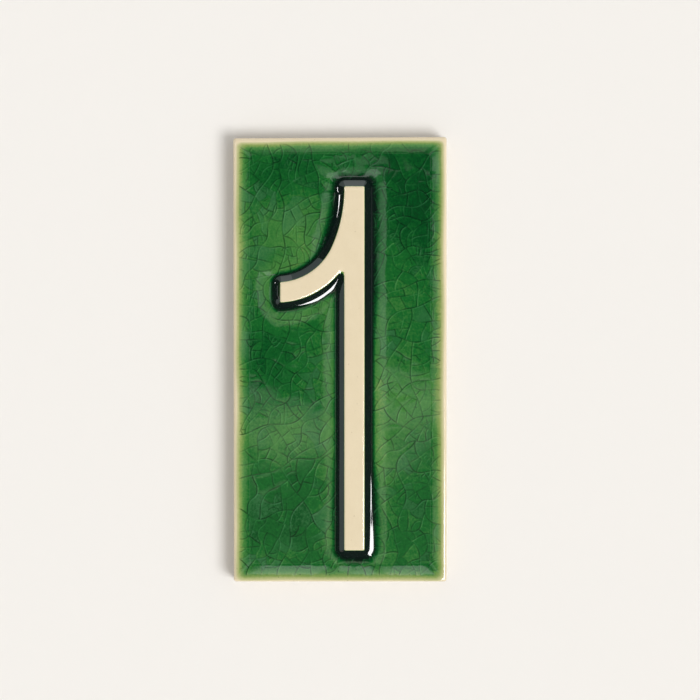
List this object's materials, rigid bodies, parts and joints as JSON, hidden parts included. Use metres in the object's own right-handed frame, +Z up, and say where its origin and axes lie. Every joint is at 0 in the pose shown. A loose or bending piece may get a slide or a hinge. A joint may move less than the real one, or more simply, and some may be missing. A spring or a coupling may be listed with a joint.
{
  "type": "house number plaque",
  "caption": "Upright ceramic house number tile with a raised bare clay numeral in a sunken field of green crackle glaze, a low rounded rim and a flat grooved back.",
  "frame": {"origin": "centre of the tile's flat back, on the land between the two middle grooves, in the plane of the wall that it is fixed to", "axes": "+Z up the upright numeral, -Y out of the glazed front towards the viewer, +Y into the wall, +X to the viewer's right"},
  "size_m": [0.072, 0.0099, 0.15],
  "materials": {
    "glazed_tile": "clear green crackle glaze over speckled cream clay, glossy where the glaze pools, bare and smooth on the numeral's face"
  },
  "bodies": {
    "root": {"number_tile": "glazed_tile"}
  },
  "joints": []
}
